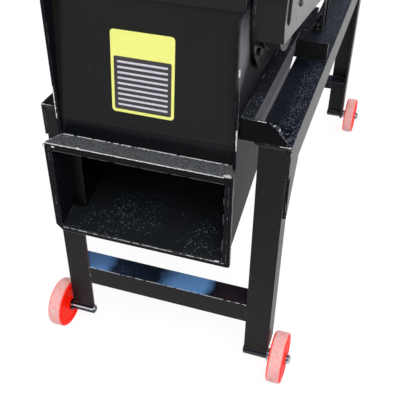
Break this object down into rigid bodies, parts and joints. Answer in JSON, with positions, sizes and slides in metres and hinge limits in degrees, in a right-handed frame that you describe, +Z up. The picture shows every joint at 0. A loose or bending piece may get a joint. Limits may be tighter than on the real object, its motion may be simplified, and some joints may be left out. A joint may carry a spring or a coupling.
{
  "type": "electric fodder chopper on a wheeled stand",
  "caption": "Electric fodder chopper: black box housing with a front outlet on a wheeled angle-iron stand, with a feed trough, belt drive and red wheels.",
  "frame": {"origin": "on the floor, at the middle of the overall length and width", "axes": "+X to the right seen from the outlet, +Y from the outlet towards the feed trough, +Z up"},
  "size_m": [0.4326, 1.046, 0.773],
  "materials": {
    "powder_black": "gloss",
    "cast_black": "satin",
    "zinc": "satin",
    "ground_steel": "satin",
    "red_wheel": "gloss",
    "belt_rubber": "matte",
    "black_plastic": "matte"
  },
  "bodies": {
    "frame": {"leg_front_left": "powder_black", "leg_front_right": "powder_black", "leg_rear_left": "powder_black", "leg_rear_right": "powder_black", "rail_left": "powder_black", "rail_right": "powder_black", "front_crossbar": "powder_black", "rear_crossbar": "powder_black", "rear_top_beam": "powder_black", "middle_beam": "powder_black", "front_brackets": "powder_black", "deck_beam": "powder_black", "frame_bolts": "zinc", "axle_bolts": "zinc", "side_plate_left": "powder_black", "side_plate_right": "powder_black", "front_plate": "powder_black", "chute_floor": "powder_black", "chute_left_wall": "powder_black", "chute_mouth": "powder_black", "knife_beam": "powder_black", "bed_knife": "ground_steel", "machine_bolts": "zinc", "top_bar": "powder_black", "hinge_pin": "zinc", "bearing_left": "cast_black", "bearing_right": "cast_black", "gear_cover": "powder_black", "roller_bushes": "zinc", "spring_bridge": "powder_black", "pressure_springs": "zinc", "feed_trough": "powder_black", "trough_supports": "powder_black", "motor_base": "powder_black", "motor_housing": "cast_black", "fan_cover": "black_plastic", "terminal_box": "black_plastic", "drive_belt": "belt_rubber", "guard_back": "powder_black", "belt_guard": "powder_black"},
    "wheel_fl": {"wheel_front_left": "red_wheel"},
    "wheel_fr": {"wheel_front_right": "red_wheel"},
    "wheel_rl": {"wheel_rear_left": "red_wheel"},
    "wheel_rr": {"wheel_rear_right": "red_wheel"},
    "hood": {"hood": "powder_black"},
    "cutter": {"cutter_shaft": "ground_steel", "blade_carrier": "cast_black", "blades": "ground_steel", "blade_bolts": "zinc", "cutter_pulley": "cast_black", "cutter_pinion": "ground_steel"},
    "feed_lower": {"lower_roller": "ground_steel", "lower_gears": "ground_steel"},
    "feed_yoke": {"roller_yoke": "powder_black"},
    "feed_upper": {"upper_roller": "ground_steel", "upper_gear": "ground_steel"},
    "rotor": {"motor_rotor": "ground_steel"}
  },
  "joints": [
    {"name": "cutter_spin", "type": "hinge", "parent": "frame", "child": "cutter", "pos_m": [0, -0.364, 0.606], "axis": [1, 0, 0], "continuous": true},
    {"name": "motor_spin", "type": "hinge", "parent": "frame", "child": "rotor", "pos_m": [0, -0.067, 0.532], "axis": [1, 0, 0], "continuous": true},
    {"name": "lower_roller_spin", "type": "hinge", "parent": "frame", "child": "feed_lower", "pos_m": [0, -0.21999, 0.582], "axis": [1, 0, 0], "continuous": true},
    {"name": "upper_roller_lift", "type": "slide", "parent": "frame", "child": "feed_yoke", "axis": [0, 0, 1], "range_m": [0, 0.01], "stiffness_N_per_m": 4000, "springref_m": -0.012, "deforming": ["pressure_springs"]},
    {"name": "upper_roller_spin", "type": "hinge", "parent": "feed_yoke", "child": "feed_upper", "pos_m": [0, -0.21999, 0.637], "axis": [1, 0, 0], "continuous": true},
    {"name": "hood_hinge", "type": "hinge", "parent": "frame", "child": "hood", "pos_m": [0, -0.25999, 0.69408], "axis": [-1, 0, 0], "range_deg": [0, 85]},
    {"name": "front_left_wheel_spin", "type": "hinge", "parent": "frame", "child": "wheel_fl", "pos_m": [-0.196, -0.48, 0.0425], "axis": [1, 0, 0], "continuous": true},
    {"name": "front_right_wheel_spin", "type": "hinge", "parent": "frame", "child": "wheel_fr", "pos_m": [0.196, -0.48, 0.0425], "axis": [1, 0, 0], "continuous": true},
    {"name": "rear_left_wheel_spin", "type": "hinge", "parent": "frame", "child": "wheel_rl", "pos_m": [-0.196, 0.358, 0.0425], "axis": [1, 0, 0], "continuous": true},
    {"name": "rear_right_wheel_spin", "type": "hinge", "parent": "frame", "child": "wheel_rr", "pos_m": [0.196, 0.358, 0.0425], "axis": [1, 0, 0], "continuous": true}
  ],
  "couplings": [
    {"joint": "motor_spin", "follows": "cutter_spin", "ratio": 2.5686},
    {"joint": "lower_roller_spin", "follows": "cutter_spin", "ratio": -0.19672},
    {"joint": "upper_roller_spin", "follows": "cutter_spin", "ratio": 0.19672}
  ]
}
